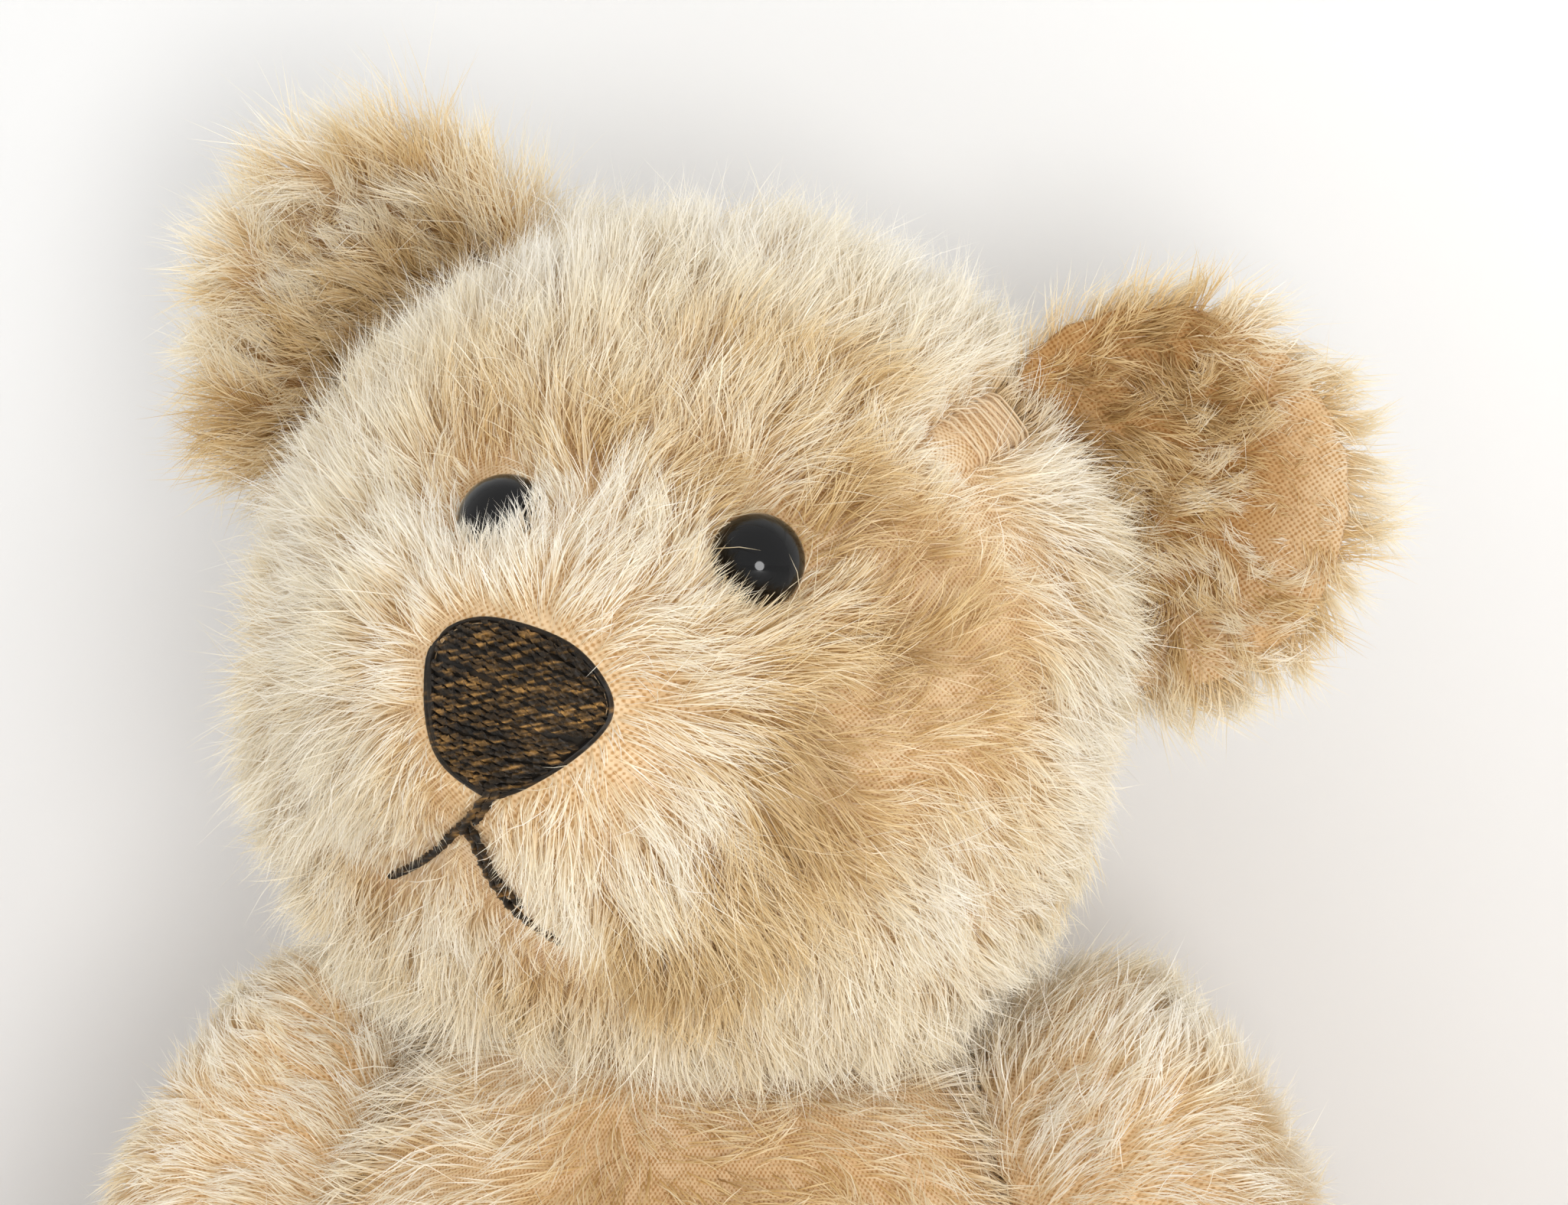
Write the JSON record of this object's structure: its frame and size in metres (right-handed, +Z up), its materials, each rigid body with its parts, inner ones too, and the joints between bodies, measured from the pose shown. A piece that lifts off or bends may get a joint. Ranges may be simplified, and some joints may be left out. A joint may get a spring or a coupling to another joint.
{
  "type": "teddy bear",
  "caption": "Old jointed teddy bear, sitting: worn pale mohair over a stuffed body, black button eyes, a stitched nose and mouth, and a head and limbs that turn on hidden discs.",
  "frame": {"origin": "on the ground, in the middle of the seat", "axes": "+Z up, the bear faces -Y and its left side is +X"},
  "size_m": [0.1722, 0.1531, 0.2002],
  "materials": {
    "mohair": "worn pile",
    "wood_wool": "loose fibre",
    "felt": "matt",
    "fibreboard": "matt",
    "steel": "dull",
    "button_black": "polished",
    "nose_thread": "twisted thread"
  },
  "bodies": {
    "torso": {"torso_cover": "mohair", "torso_filling": "wood_wool", "neck_inner_disc": "fibreboard", "neck_inner_washer": "steel", "neck_split_pin": "steel", "left_arm_inner_disc": "fibreboard", "left_arm_inner_washer": "steel", "left_arm_split_pin": "steel", "right_arm_inner_disc": "fibreboard", "right_arm_inner_washer": "steel", "right_arm_split_pin": "steel", "left_leg_inner_disc": "fibreboard", "left_leg_inner_washer": "steel", "left_leg_split_pin": "steel", "right_leg_inner_disc": "fibreboard", "right_leg_inner_washer": "steel", "right_leg_split_pin": "steel"},
    "head": {"head_cover": "mohair", "head_filling": "wood_wool", "left_ear": "mohair", "right_ear": "mohair", "left_eye": "button_black", "right_eye": "button_black", "left_eye_shank": "steel", "right_eye_shank": "steel", "nose_stitching": "nose_thread", "lip_stitch": "nose_thread", "mouth_stitch": "nose_thread", "neck_outer_disc": "fibreboard", "neck_outer_washer": "steel"},
    "left_arm": {"left_arm_cover": "mohair", "left_arm_filling": "wood_wool", "left_palm_pad": "felt", "left_arm_outer_disc": "fibreboard", "left_arm_outer_washer": "steel"},
    "left_leg": {"left_leg_cover": "mohair", "left_leg_filling": "wood_wool", "left_sole_pad": "felt", "left_leg_outer_disc": "fibreboard", "left_leg_outer_washer": "steel"},
    "right_arm": {"right_arm_cover": "mohair", "right_arm_filling": "wood_wool", "right_palm_pad": "felt", "right_arm_outer_disc": "fibreboard", "right_arm_outer_washer": "steel"},
    "right_leg": {"right_leg_cover": "mohair", "right_leg_filling": "wood_wool", "right_sole_pad": "felt", "right_leg_outer_disc": "fibreboard", "right_leg_outer_washer": "steel"}
  },
  "joints": [
    {"name": "neck_turn", "type": "hinge", "parent": "torso", "child": "head", "pos_m": [-0.0056, -0.003, 0.1178], "axis": [0.1994, 0, 0.9799], "continuous": true},
    {"name": "left_shoulder", "type": "hinge", "parent": "torso", "child": "left_arm", "pos_m": [0.033, 0.002, 0.097], "axis": [-0.8988, 0, -0.4384], "range_deg": [-45, 75]},
    {"name": "right_shoulder", "type": "hinge", "parent": "torso", "child": "right_arm", "pos_m": [-0.033, 0.002, 0.097], "axis": [-0.8988, 0, 0.4384], "range_deg": [-45, 75]},
    {"name": "left_hip", "type": "hinge", "parent": "torso", "child": "left_leg", "pos_m": [0.0375, 0.002, 0.0205], "axis": [0.9976, 0.0698, 0], "range_deg": [0, 95]},
    {"name": "right_hip", "type": "hinge", "parent": "torso", "child": "right_leg", "pos_m": [-0.0375, 0.002, 0.0205], "axis": [0.9976, -0.0698, 0], "range_deg": [0, 95]}
  ]
}
